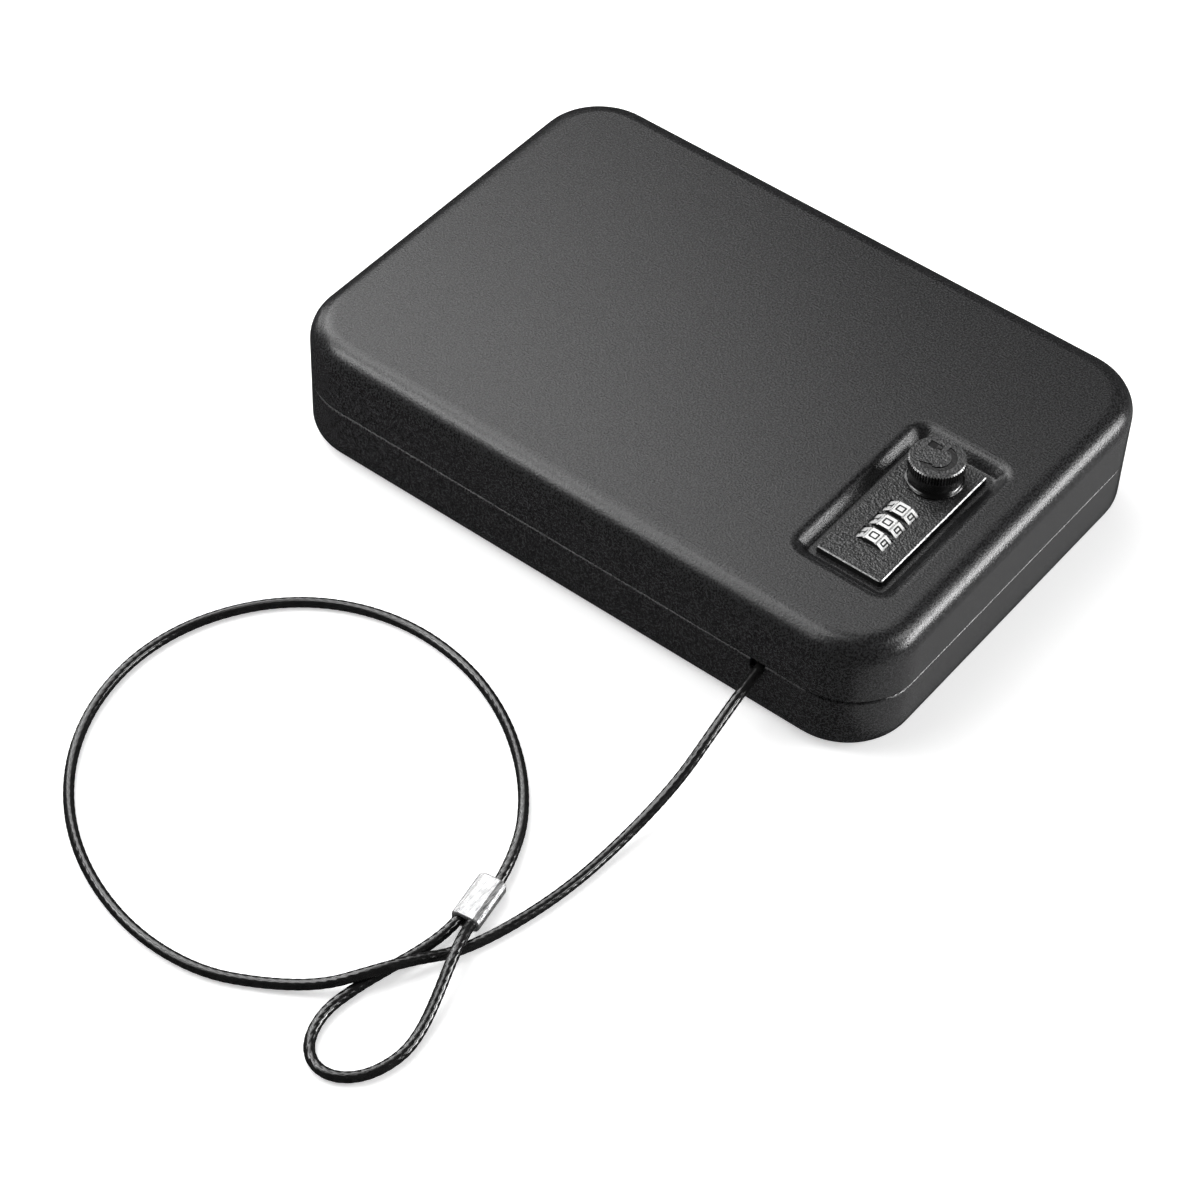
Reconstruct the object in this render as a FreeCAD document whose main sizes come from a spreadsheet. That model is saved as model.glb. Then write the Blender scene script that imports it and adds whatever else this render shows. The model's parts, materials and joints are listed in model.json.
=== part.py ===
import FreeCAD, Part
import Sketcher
import math
import os

# Portable steel cash box with a three-dial lock and a tether cable.
# Millimetres. +Z is up, the lock's end is -Y, the hinge is at +Y, and the cable leaves the -X side.
# The origin is under the middle of the base, on the surface that the box stands on.

V = FreeCAD.Vector
doc = FreeCAD.newDocument("cash_box")
sheet = doc.addObject("Spreadsheet::Sheet", "Dims")

SIZES = [
    # the two pressed shells
    ("box_width", 166.0), ("box_length", 240.0), ("box_height", 48.0), ("corner_radius", 24.5),
    ("top_round", 8.3), ("bottom_round", 7.0), ("sheet_gauge", 1.2), ("seam_height", 23.3),
    ("seam_gap", 0.3), ("rim_round", 0.8),
    # the recess for the lock, and the lock's plate
    ("recess_depth", 4.0), ("recess_gap", 2.32), ("recess_corner", 2.0), ("recess_lip", 4.0),
    ("recess_foot", 1.5), ("plate_left", -49.2), ("plate_right", 10.6), ("plate_front", -98.7),
    ("plate_back", -73.7), ("plate_gauge", 2.5), ("plate_corner", 1.0), ("plate_bevel", 0.35),
    ("body_left", -44.0), ("body_right", 6.0), ("body_front", -96.0), ("body_back", -76.5),
    ("body_bottom", 31.0), ("cover_gauge", 1.0),
    # dials
    ("dial_first", -35.2), ("dial_pitch", 7.4), ("dial_across", -86.2), ("dial_height", 40.7),
    ("dial_flat", 7.3), ("dial_wide", 5.2), ("dial_room", 0.35), ("window_radius", 8.05),
    ("axle_radius", 1.6), ("axle_fit", 0.05), ("sleeve_radius", 4.2),
    # knob and what turns with it
    ("knob_along", -1.4), ("knob_across", -86.2), ("knob_foot", 46.8), ("knob_foot_radius", 9.65),
    ("knob_neck_radius", 8.2), ("knob_head_radius", 9.4), ("knob_head_low", 52.4),
    ("knob_top", 56.5), ("knurl_depth", 0.38), ("knurl_count", 60), ("mark_depth", 0.3),
    ("spindle_radius", 4.0), ("spindle_fit", 0.08), ("thread_radius", 3.0), ("cam_low", 26.0),
    ("cam_gauge", 1.5), ("cam_reach", 27.0),
    # hinge
    ("hinge_across", 117.8), ("barrel_radius", 2.2), ("pin_radius", 1.0), ("pin_fit", 0.05),
    ("barrel_length", 132.0), ("knuckle_gap", 0.4), ("leaf_gauge", 1.0),
    # rim strip, catch and liners
    ("strip_low", 11.0), ("strip_high", 28.3), ("strip_gauge", 1.2), ("strip_step", 0.5),
    ("catch_low", 14.0), ("catch_lip", 28.0), ("catch_gauge", 1.5), ("foam_gauge", 5.0),
    # cable
    ("cable_size", 3.4), ("notch_across", -77.7), ("notch_wide", 5.8), ("notch_height", 21.0),
    ("cable_height", 20.4), ("stop_size", 8.0), ("stop_long", 12.0), ("sleeve_long", 17.5),
    ("sleeve_wide", 9.4), ("sleeve_high", 6.4), ("sleeve_bore", 1.85), ("sleeve_spread", 1.93),
]


class Dim:
    """A size with its number and the text of the cells that drive it."""

    def __init__(self, value, text):
        self.v, self.t = float(value), text

    @staticmethod
    def of(x):
        return x if isinstance(x, Dim) else Dim(x, "%.6f" % x)

    def __add__(self, o):
        o = Dim.of(o)
        return Dim(self.v + o.v, "(%s + %s)" % (self.t, o.t))

    def __sub__(self, o):
        o = Dim.of(o)
        return Dim(self.v - o.v, "(%s - %s)" % (self.t, o.t))

    def __mul__(self, o):
        o = Dim.of(o)
        return Dim(self.v * o.v, "(%s * %s)" % (self.t, o.t))

    def __truediv__(self, o):
        o = Dim.of(o)
        return Dim(self.v / o.v, "(%s / %s)" % (self.t, o.t))

    def __radd__(self, o):
        return Dim.of(o) + self

    def __rsub__(self, o):
        return Dim.of(o) - self

    def __rmul__(self, o):
        return Dim.of(o) * self

    def __neg__(self):
        return Dim(-self.v, "(-%s)" % self.t)


class Cells:
    pass


d = Cells()
for row, (name, value) in enumerate(SIZES, 1):
    sheet.set("A%d" % row, name)
    sheet.set("B%d" % row, "%g" % value)
    sheet.setAlias("B%d" % row, name)
    setattr(d, name, Dim(value, "Dims." + name))
doc.recompute()

made = []  # the sub-parts, in the order they are written


def body(label):
    b = doc.addObject("PartDesign::Body", label)
    b.Label = label
    made.append(b)
    return b


def place(obj, x, y, z, axis=None, turn=0.0):
    x, y, z = Dim.of(x), Dim.of(y), Dim.of(z)
    spin = FreeCAD.Rotation(axis, turn) if axis else FreeCAD.Rotation()
    obj.Placement = FreeCAD.Placement(V(x.v, y.v, z.v), spin)
    for k, e in (("x", x), ("y", y), ("z", z)):
        obj.setExpression("Placement.Base." + k, e.t)


def origin(b, role):
    return [f for f in b.Origin.OriginFeatures if f.Role == role][0]


def sketch(b, name, role, off=None):
    s = b.newObject("Sketcher::SketchObject", name)
    s.AttachmentSupport = [(origin(b, role), "")]
    s.MapMode = "FlatFace"
    if off is not None:
        off = Dim.of(off)
        s.AttachmentOffset = FreeCAD.Placement(V(0, 0, off.v), FreeCAD.Rotation())
        s.setExpression("AttachmentOffset.Base.z", off.t)
    return s


def away(s, kind, geo, pos, value):
    """Puts a point of the sketch at a driven distance from the sketch's origin."""
    e = Dim.of(value)
    if abs(e.v) < 1e-9:
        s.addConstraint(Sketcher.Constraint("PointOnObject", geo, pos, -2 if kind == "DistanceX" else -1))
    elif e.v > 0:
        i = s.addConstraint(Sketcher.Constraint(kind, -1, 1, geo, pos, e.v))
        s.setExpression("Constraints[%d]" % i, e.t)
    else:
        i = s.addConstraint(Sketcher.Constraint(kind, geo, pos, -1, 1, -e.v))
        s.setExpression("Constraints[%d]" % i, (-e).t)


def poly(s, points):
    """A closed outline of straight lines with every corner driven."""
    p = [(Dim.of(x), Dim.of(y)) for x, y in points]
    n = len(p)
    g = []
    for i in range(n):
        a, c = p[i], p[(i + 1) % n]
        g.append(s.addGeometry(Part.LineSegment(V(a[0].v, a[1].v, 0), V(c[0].v, c[1].v, 0)), False))
    for i in range(n):
        s.addConstraint(Sketcher.Constraint("Coincident", g[i], 2, g[(i + 1) % n], 1))
    for i in range(n):
        away(s, "DistanceX", g[i], 1, p[i][0])
        away(s, "DistanceY", g[i], 1, p[i][1])


def box2(s, x0, x1, y0, y1):
    poly(s, [(x0, y0), (x1, y0), (x1, y1), (x0, y1)])


def circle(s, x, y, r):
    x, y, r = Dim.of(x), Dim.of(y), Dim.of(r)
    g = s.addGeometry(Part.Circle(V(x.v, y.v, 0), V(0, 0, 1), r.v), False)
    away(s, "DistanceX", g, 3, x)
    away(s, "DistanceY", g, 3, y)
    i = s.addConstraint(Sketcher.Constraint("Radius", g, r.v))
    s.setExpression("Constraints[%d]" % i, r.t)


def rounded(s, x0, x1, y0, y1, r):
    """A rectangle with round corners, driven by its four sides and its radius."""
    x0, x1, y0, y1, r = [Dim.of(x) for x in (x0, x1, y0, y1, r)]
    a, b_, c, e, q = x0.v, x1.v, y0.v, y1.v, r.v
    lines = [((a + q, c), (b_ - q, c)), ((b_, c + q), (b_, e - q)), ((b_ - q, e), (a + q, e)), ((a, e - q), (a, c + q))]
    mids = [((b_ - q, c + q), -90), ((b_ - q, e - q), 0), ((a + q, e - q), 90), ((a + q, c + q), 180)]
    L = [s.addGeometry(Part.LineSegment(V(*p, 0), V(*w, 0)), False) for p, w in lines]
    A = []
    for (mx, my), start in mids:
        arc = Part.ArcOfCircle(Part.Circle(V(mx, my, 0), V(0, 0, 1), q), math.radians(start), math.radians(start + 90))
        A.append(s.addGeometry(arc, False))
    for i in range(4):
        s.addConstraint(Sketcher.Constraint("Tangent", L[i], 2, A[i], 1))
        s.addConstraint(Sketcher.Constraint("Tangent", A[i], 2, L[(i + 1) % 4], 1))
    s.addConstraint(Sketcher.Constraint("Horizontal", L[0]))
    s.addConstraint(Sketcher.Constraint("Vertical", L[1]))
    s.addConstraint(Sketcher.Constraint("Horizontal", L[2]))
    s.addConstraint(Sketcher.Constraint("Vertical", L[3]))
    for i in (1, 2, 3):
        s.addConstraint(Sketcher.Constraint("Equal", A[0], A[i]))
    i = s.addConstraint(Sketcher.Constraint("Radius", A[0], q))
    s.setExpression("Constraints[%d]" % i, r.t)
    away(s, "DistanceY", L[0], 1, y0)
    away(s, "DistanceX", L[1], 1, x1)
    away(s, "DistanceY", L[2], 1, y1)
    away(s, "DistanceX", L[3], 1, x0)


def pad(b, s, long, back=False, both=False):
    f = b.newObject("PartDesign::Pad", s.Name + "_pad")
    f.Profile = s
    long = Dim.of(long)
    f.Length = long.v
    f.setExpression("Length", long.t)
    f.Reversed = back
    f.Midplane = both
    doc.recompute()
    return f


def pocket(b, s, deep, along=False, both=False):
    """Cuts against the sketch's normal, or along it."""
    before = b.Shape.Volume
    f = b.newObject("PartDesign::Pocket", s.Name + "_cut")
    f.Profile = s
    deep = Dim.of(deep)
    f.Length = deep.v
    f.setExpression("Length", deep.t)
    f.Reversed = along
    f.Midplane = both
    doc.recompute()
    if not b.Shape.Volume < before - 1e-6:
        raise RuntimeError("%s: %s cuts nothing" % (b.Label, s.Name))
    return f


def edges(feature, test):
    return ["Edge%d" % (i + 1) for i, e in enumerate(feature.Shape.Edges) if test(e)]


def faces(feature, test):
    return ["Face%d" % (i + 1) for i, f in enumerate(feature.Shape.Faces) if test(f)]


def fillet(b, feature, names, radius):
    if not names:
        raise RuntimeError("%s: no edges to round" % b.Label)
    f = b.newObject("PartDesign::Fillet", "Round")
    f.Base = (feature, names)
    radius = Dim.of(radius)
    f.Radius = radius.v
    f.setExpression("Radius", radius.t)
    doc.recompute()
    return f


def chamfer(b, feature, names, size):
    if not names:
        raise RuntimeError("%s: no edges to bevel" % b.Label)
    f = b.newObject("PartDesign::Chamfer", "Bevel")
    f.Base = (feature, names)
    size = Dim.of(size)
    f.Size = size.v
    f.setExpression("Size", size.t)
    doc.recompute()
    return f


def row_of(b, feature, axis, count, long):
    f = b.newObject("PartDesign::LinearPattern", "Row")
    f.Originals = [feature]
    f.Direction = (origin(b, axis), [""])
    long = Dim.of(long)
    f.Length = long.v
    f.setExpression("Length", long.t)
    f.Occurrences = count
    b.Tip = f
    doc.recompute()
    return f


def ring_of(b, feature, axis, count):
    f = b.newObject("PartDesign::PolarPattern", "Ring")
    f.Originals = [feature]
    f.Axis = (origin(b, axis), [""])
    f.Angle = 360
    count = Dim.of(count)
    f.Occurrences = int(count.v)
    f.setExpression("Occurrences", count.t)
    b.Tip = f
    doc.recompute()
    return f


def turned(b, name, outline):
    """A solid of revolution about Z, from an outline of (radius, height) corners."""
    s = sketch(b, name, "XZ_Plane")
    poly(s, outline)
    f = b.newObject("PartDesign::Revolution", name + "_turned")
    f.Profile = s
    f.ReferenceAxis = (s, ["V_Axis"])
    f.Angle = 360
    doc.recompute()
    return f


def at_z(e, z, tol=1e-3):
    return abs(e.BoundBox.ZMin - z) < tol and abs(e.BoundBox.ZMax - z) < tol


half_w, half_l = d.box_width / 2, d.box_length / 2
base_top = d.seam_height - d.seam_gap / 2
lid_low = d.seam_height + d.seam_gap / 2
in_w, in_l = half_w - d.sheet_gauge, half_l - d.sheet_gauge
in_corner = d.corner_radius - d.sheet_gauge
hinge_slot = 3.1  # how far the rear walls stand back from the hinge's axis, up and down
slot_half = 68.9

# ---------------------------------------------------------------- base tray
b = body("base_shell")
s = sketch(b, "base_plan", "XY_Plane")
rounded(s, -half_w, half_w, -half_l, half_l, d.corner_radius)
f = pad(b, s, base_top)
f = fillet(b, f, edges(f, lambda e: at_z(e, 0)), d.bottom_round)
t = b.newObject("PartDesign::Thickness", "Hollow")
t.Base = (f, faces(f, lambda q: at_z(q, base_top.v)))
t.Value = d.sheet_gauge.v
t.setExpression("Value", d.sheet_gauge.t)
t.Reversed = True
t.Mode = "Skin"
t.Join = "Intersection"
doc.recompute()
f = fillet(
    b, t,
    edges(t, lambda e: at_z(e, base_top.v) and max(abs(v.Point.x) / half_w.v if abs(v.Point.y) < 90 else abs(v.Point.y) / half_l.v for v in e.Vertexes) > 0.9999),
    d.rim_round,
)
s = sketch(b, "cable_notch", "YZ_Plane", -half_w - 5)
box2(s, d.notch_across - d.notch_wide / 2, d.notch_across + d.notch_wide / 2, d.notch_height, base_top + 2)
pocket(b, s, 10, along=True)
s = sketch(b, "cable_notch_foot", "YZ_Plane", -half_w - 5)
circle(s, d.notch_across, d.notch_height, d.notch_wide / 2)
pocket(b, s, 10, along=True)
s = sketch(b, "hinge_room", "XY_Plane", d.seam_height - hinge_slot)
box2(s, -slot_half, slot_half, d.hinge_across - d.barrel_radius - 0.5, half_l + 3)
pocket(b, s, 12, along=True)

# ---------------------------------------------------------------- strip inside the rim
b = body("rim_flange")
s = sketch(b, "strip_foot", "XY_Plane", d.strip_low)
rounded(s, -in_w, in_w, -in_l, in_l, in_corner)
rounded(s, -in_w + d.strip_gauge, in_w - d.strip_gauge, -in_l + d.strip_gauge, in_l - d.strip_gauge, in_corner - d.strip_gauge)
pad(b, s, base_top - 0.6 - d.strip_low)
s = sketch(b, "strip_head", "XY_Plane", base_top - 1.6)
k = d.strip_step
rounded(s, -in_w + k, in_w - k, -in_l + k, in_l - k, in_corner - k)
k = d.strip_step + 1.0
rounded(s, -in_w + k, in_w - k, -in_l + k, in_l - k, in_corner - k)
pad(b, s, d.strip_high - base_top + 1.6)
s = sketch(b, "strip_rear", "XY_Plane", 0)
box2(s, -half_w, half_w, 92, half_l)
pocket(b, s, 40, along=True)
s = sketch(b, "strip_notch", "YZ_Plane", -half_w)
box2(s, d.notch_across - 3.4, d.notch_across + 3.4, d.notch_height - 3.4, d.strip_high + 2)
pocket(b, s, 8, along=True)

# ---------------------------------------------------------------- hinge at the rear edge
knuckle = (d.barrel_length - 4 * d.knuckle_gap) / 5
bore = d.pin_radius + d.pin_fit


def leaf(label, numbers, low, high, tab_low, tab_high):
    b = body(label)
    s = sketch(b, label + "_plate", "XZ_Plane", -(in_l - d.leaf_gauge))
    box2(s, -57, 57, low, high)
    pad(b, s, d.leaf_gauge, back=False)
    if b.Shape.BoundBox.YMax > in_l.v + 0.01 or b.Shape.BoundBox.YMin < in_l.v - d.leaf_gauge.v - 0.01:
        pad_f = b.Tip
        pad_f.Reversed = True
        doc.recompute()
    for n in numbers:
        x0 = -(d.barrel_length / 2) + n * (knuckle + d.knuckle_gap)
        s = sketch(b, label + "_tab%d" % n, "YZ_Plane", x0)
        box2(s, in_l - d.leaf_gauge, in_l, tab_low, tab_high)
        pad(b, s, knuckle)
        s = sketch(b, label + "_roll%d" % n, "YZ_Plane", x0)
        circle(s, d.hinge_across, d.seam_height, d.barrel_radius)
        pad(b, s, knuckle)
        s = sketch(b, label + "_bore%d" % n, "YZ_Plane", x0 - 0.2)
        circle(s, d.hinge_across, d.seam_height, bore)
        pocket(b, s, knuckle + 0.4, along=True)
    return b


leaf("hinge_base_leaf", (0, 2, 4), 9, d.seam_height - 2.7, d.seam_height - 2.8, d.seam_height - 1.2)
b = body("hinge_pin")
s = sketch(b, "pin_round", "YZ_Plane", -(d.barrel_length / 2) + 0.3)
circle(s, d.hinge_across, d.seam_height, d.pin_radius)
f = pad(b, s, d.barrel_length - 0.6)
chamfer(b, f, edges(f, lambda e: e.BoundBox.XLength < 1e-6), 0.3)

# ---------------------------------------------------------------- liner of the base
b = body("base_foam_pad")
s = sketch(b, "base_liner", "XY_Plane", d.sheet_gauge)
k = d.bottom_round - d.sheet_gauge + 0.6
rounded(s, -in_w + k, in_w - k, -in_l + k, in_l - k, in_corner - k)
f = pad(b, s, d.foam_gauge)
fillet(b, f, edges(f, lambda e: at_z(e, d.sheet_gauge.v + d.foam_gauge.v)), 1.2)

# ---------------------------------------------------------------- catch on the front wall
b = body("catch_bracket")
catch_out = -(in_l - d.strip_step - 1.0)
s = sketch(b, "catch_side", "YZ_Plane", d.knob_along - 12.5)
poly(s, [
    (catch_out, d.catch_low), (catch_out + d.catch_gauge, d.catch_low), (catch_out + d.catch_gauge, d.catch_lip),
    (catch_out + 9.3, d.catch_lip), (catch_out + 9.3, d.catch_lip + d.catch_gauge), (catch_out, d.catch_lip + d.catch_gauge),
])
f = pad(b, s, 25)
fillet(b, f, edges(f, lambda e: abs(e.BoundBox.YMin - catch_out.v) < 1e-4 and at_z(e, d.catch_lip.v + d.catch_gauge.v) and e.BoundBox.XLength > 1), 1.3)

# ---------------------------------------------------------------- lid
b = body("lid_shell")
s = sketch(b, "lid_plan", "XY_Plane", lid_low)
rounded(s, -half_w, half_w, -half_l, half_l, d.corner_radius)
f = pad(b, s, d.box_height - lid_low)
f = fillet(b, f, edges(f, lambda e: at_z(e, d.box_height.v)), d.top_round)
t = b.newObject("PartDesign::Thickness", "Hollow")
t.Base = (f, faces(f, lambda q: at_z(q, lid_low.v)))
t.Value = d.sheet_gauge.v
t.setExpression("Value", d.sheet_gauge.t)
t.Reversed = True
t.Mode = "Skin"
t.Join = "Intersection"
doc.recompute()
fillet(
    b, t,
    edges(t, lambda e: at_z(e, lid_low.v) and max(abs(v.Point.x) / half_w.v if abs(v.Point.y) < 90 else abs(v.Point.y) / half_l.v for v in e.Vertexes) > 0.9999),
    d.rim_round,
)
floor = d.box_height - d.recess_depth


def recess_plan(s, grow):
    g = d.recess_gap + grow
    rounded(s, d.plate_left - g, d.plate_right + g, d.plate_front - g, d.plate_back + g, d.recess_corner + grow)


# the pressed-in boss seen from inside, then the recess itself, both with 45 degree sides
inside = 0.4142 * d.sheet_gauge
s1 = sketch(b, "boss_foot", "XY_Plane", floor - d.sheet_gauge)
recess_plan(s1, inside)
s2 = sketch(b, "boss_head", "XY_Plane", d.box_height - d.sheet_gauge + 0.4)
recess_plan(s2, inside + d.recess_depth + 0.4)
f = b.newObject("PartDesign::AdditiveLoft", "Boss")
f.Profile = s1
f.Sections = [s2]
f.Ruled = True
doc.recompute()
before = b.Shape.Volume
s1 = sketch(b, "recess_floor", "XY_Plane", floor)
recess_plan(s1, Dim.of(0.0))
s2 = sketch(b, "recess_mouth", "XY_Plane", d.box_height + 1)
recess_plan(s2, d.recess_depth + 1)
f = b.newObject("PartDesign::SubtractiveLoft", "Recess")
f.Profile = s1
f.Sections = [s2]
f.Ruled = True
doc.recompute()
if not b.Shape.Volume < before - 1000:
    raise RuntimeError("the lock's recess cuts nothing")


def near_lock(e, grow):
    q = e.BoundBox
    return (
        q.XMin > d.plate_left.v - grow and q.XMax < d.plate_right.v + grow
        and q.YMin > d.plate_front.v - grow and q.YMax < d.plate_back.v + grow
    )


f = fillet(b, f, edges(f, lambda e: at_z(e, d.box_height.v) and near_lock(e, 8)), d.recess_lip)
f = fillet(b, f, edges(f, lambda e: at_z(e, floor.v) and near_lock(e, 4)), d.recess_foot)
f = fillet(b, f, edges(f, lambda e: at_z(e, floor.v - d.sheet_gauge.v) and near_lock(e, 4)), d.recess_foot + d.sheet_gauge)
s = sketch(b, "lock_opening", "XY_Plane", floor - 3)
box2(s, d.body_left - 0.4, d.body_right + 0.4, d.body_front - 0.4, d.body_back + 0.4)
pocket(b, s, 4, along=True)
s = sketch(b, "lock_screw_holes", "XY_Plane", floor - 3)
circle(s, d.plate_left + 2.3, d.knob_across, 1.45)
circle(s, d.plate_right - 2.3, d.knob_across, 1.45)
pocket(b, s, 4, along=True)
s = sketch(b, "hinge_room", "XY_Plane", d.seam_height + hinge_slot)
box2(s, -slot_half, slot_half, d.hinge_across - d.barrel_radius - 0.5, half_l + 3)
pocket(b, s, 12)

leaf("hinge_lid_leaf", (1, 3), d.seam_height + 2.7, 38, d.seam_height + 1.2, d.seam_height + 2.8)

b = body("lid_foam_pad")
s = sketch(b, "lid_liner", "XY_Plane", d.box_height - d.sheet_gauge - d.foam_gauge)
k = d.top_round - d.sheet_gauge + 0.6
rounded(s, -in_w + k, in_w - k, -58, in_l - k, in_corner - k + 1)
f = pad(b, s, d.foam_gauge)
fillet(b, f, edges(f, lambda e: at_z(e, d.box_height.v - d.sheet_gauge.v - d.foam_gauge.v)), 1.2)

# ---------------------------------------------------------------- lock: plate and body
plate_top = floor + d.plate_gauge
b = body("lock_housing")
s = sketch(b, "plate_plan", "XY_Plane", floor)
rounded(s, d.plate_left, d.plate_right, d.plate_front, d.plate_back, d.plate_corner)
f = pad(b, s, d.plate_gauge)
chamfer(b, f, edges(f, lambda e: at_z(e, plate_top.v)), d.plate_bevel)
s = sketch(b, "body_plan", "XY_Plane", d.body_bottom)
box2(s, d.body_left, d.body_right, d.body_front, d.body_back)
pad(b, s, floor - d.body_bottom + 0.5)
room = d.dial_wide + 2 * d.dial_room
s = sketch(b, "dial_window", "YZ_Plane", d.dial_first - room / 2)
circle(s, d.dial_across, d.dial_height, d.window_radius)
f = pocket(b, s, room, along=True)
row_of(b, f, "X_Axis", 3, 2 * d.dial_pitch)
s = sketch(b, "dial_well", "YZ_Plane", d.dial_first - room / 2)
box2(s, d.dial_across - d.window_radius, d.dial_across + d.window_radius, d.body_bottom - 1, d.dial_height)
f = pocket(b, s, room, along=True)
row_of(b, f, "X_Axis", 3, 2 * d.dial_pitch)
s = sketch(b, "axle_hole", "YZ_Plane", d.body_left - 1)
circle(s, d.dial_across, d.dial_height, d.axle_radius)
pocket(b, s, d.dial_first + 2 * d.dial_pitch + room / 2 + 4.4 - d.body_left + 1, along=True)
s = sketch(b, "spring_room", "XY_Plane", d.body_bottom - 1)
box2(s, d.dial_first - 3.4, d.dial_first + 2 * d.dial_pitch + 3.4, d.dial_across - 7.8, d.dial_across + 7.8)
pocket(b, s, 2, along=True)
s = sketch(b, "spindle_bore", "XY_Plane", d.body_bottom - 1)
circle(s, d.knob_along, d.knob_across, d.spindle_radius + d.spindle_fit)
pocket(b, s, 30, along=True)
s = sketch(b, "pin_hole", "YZ_Plane", d.dial_first + 2 * d.dial_pitch)
circle(s, d.dial_across, 36, 1.3)
pocket(b, s, 14.5, along=True)
SCREWS = [(d.body_left + 2.7, d.body_front + 2.4), (d.body_left + 2.7, d.body_back - 2.4), (d.body_right - 2.2, d.body_front + 2.4), (d.body_right - 2.2, d.body_back - 2.4)]
s = sketch(b, "cover_screw_holes", "XY_Plane", d.body_bottom - 1)
for x, y in SCREWS:
    circle(s, x, y, 1.0)
pocket(b, s, 7.2, along=True)
s = sketch(b, "mount_screw_holes", "XY_Plane", floor - 1)
circle(s, d.plate_left + 2.3, d.knob_across, 1.25)
circle(s, d.plate_right - 2.3, d.knob_across, 1.25)
pocket(b, s, 2.9, along=True)

b = body("lock_back_plate")
s = sketch(b, "cover_plan", "XY_Plane", d.body_bottom - d.cover_gauge)
rounded(s, d.body_left, d.body_right, d.body_front, d.body_back, 1.0)
pad(b, s, d.cover_gauge)
s = sketch(b, "cover_holes", "XY_Plane", d.body_bottom - d.cover_gauge - 1)
circle(s, d.knob_along, d.knob_across, d.spindle_radius + d.spindle_fit)
for x, y in SCREWS:
    circle(s, x, y, 1.1)
box2(s, -32.0, -23.4, -80.6, -78.0)
pocket(b, s, d.cover_gauge + 2, along=True)


def screws(label, spots, under, head_r, head_h, shank_r, shank):
    """Round-headed screws with a cross slot, driven upwards from a face at height `under`."""
    pieces = []
    for n, (x, y) in enumerate(spots):
        head = doc.addObject("Part::Cylinder", label + "_head%d" % n)
        stem = doc.addObject("Part::Cylinder", label + "_stem%d" % n)
        for c, r, h, z in ((head, head_r, head_h, under - head_h), (stem, shank_r, shank + 0.2, under - 0.2)):
            r, h = Dim.of(r), Dim.of(h)
            c.Radius, c.Height = r.v, h.v
            c.setExpression("Radius", r.t)
            c.setExpression("Height", h.t)
            place(c, x, y, z)
        whole = doc.addObject("Part::Fuse", label + "_whole%d" % n)
        whole.Base, whole.Tool = head, stem
        cut = whole
        for m, (lx, ly) in enumerate(((head_r * 1.2, 0.5), (0.5, head_r * 1.2))):
            slot = doc.addObject("Part::Box", label + "_slot%d_%d" % (n, m))
            slot.Length, slot.Width, slot.Height = lx, ly, 0.6
            place(slot, x - lx / 2, y - ly / 2, under - head_h - 0.1)
            c = doc.addObject("Part::Cut", label + "_cut%d_%d" % (n, m))
            c.Base, c.Tool = cut, slot
            cut = c
        pieces.append(cut)
    group = doc.addObject("Part::Compound", label)
    group.Label = label
    group.Links = pieces
    doc.recompute()
    made.append(group)


screws("lock_back_screws", SCREWS, d.body_bottom - d.cover_gauge, 1.9, 1.1, 0.98, 6.5)
screws("lock_mount_screws", [(d.plate_left + 2.3, d.knob_across), (d.plate_right - 2.3, d.knob_across)], floor - d.sheet_gauge, 2.1, 1.4, 1.23, 3.0)

# axle of the dials, spring under them, and the pin between the dials and the spindle
b = body("dial_axle")
s = sketch(b, "axle_round", "YZ_Plane", d.body_left + 0.8)
circle(s, d.dial_across, d.dial_height, d.axle_radius)
f = pad(b, s, d.dial_first + 2 * d.dial_pitch + room / 2 + 4.0 - d.body_left - 0.8)
chamfer(b, f, edges(f, lambda e: e.BoundBox.XLength < 1e-6), 0.3)

b = body("dial_detent_spring")
s = sketch(b, "spring_root", "XY_Plane", d.body_bottom + 0.1)
box2(s, d.dial_first - 3.1, d.dial_first + 2 * d.dial_pitch + 3.1, d.dial_across - 7.6, d.dial_across - 5.0)
pad(b, s, 0.4)
s = sketch(b, "spring_finger", "YZ_Plane", d.dial_first - 1.5)
z = d.body_bottom + 0.1
poly(s, [
    (d.dial_across - 5.4, z), (d.dial_across - 3.4, z), (d.dial_across - 1.2, z + 0.9), (d.dial_across + 1.2, z + 0.9),
    (d.dial_across + 3.4, z), (d.dial_across + 5.2, z), (d.dial_across + 5.2, z + 0.4), (d.dial_across + 3.5, z + 0.4),
    (d.dial_across + 1.3, z + 1.3), (d.dial_across - 1.3, z + 1.3), (d.dial_across - 3.5, z + 0.4), (d.dial_across - 5.4, z + 0.4),
])
f = pad(b, s, 3.0)
row_of(b, f, "X_Axis", 3, 2 * d.dial_pitch)

b = body("locking_pin")
s = sketch(b, "pin_round", "YZ_Plane", d.dial_first + 2 * d.dial_pitch + room / 2 + 0.5)
circle(s, d.dial_across, 36, 1.22)
f = pad(b, s, 11.0)
chamfer(b, f, edges(f, lambda e: e.BoundBox.XLength < 1e-6), 0.35)

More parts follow.
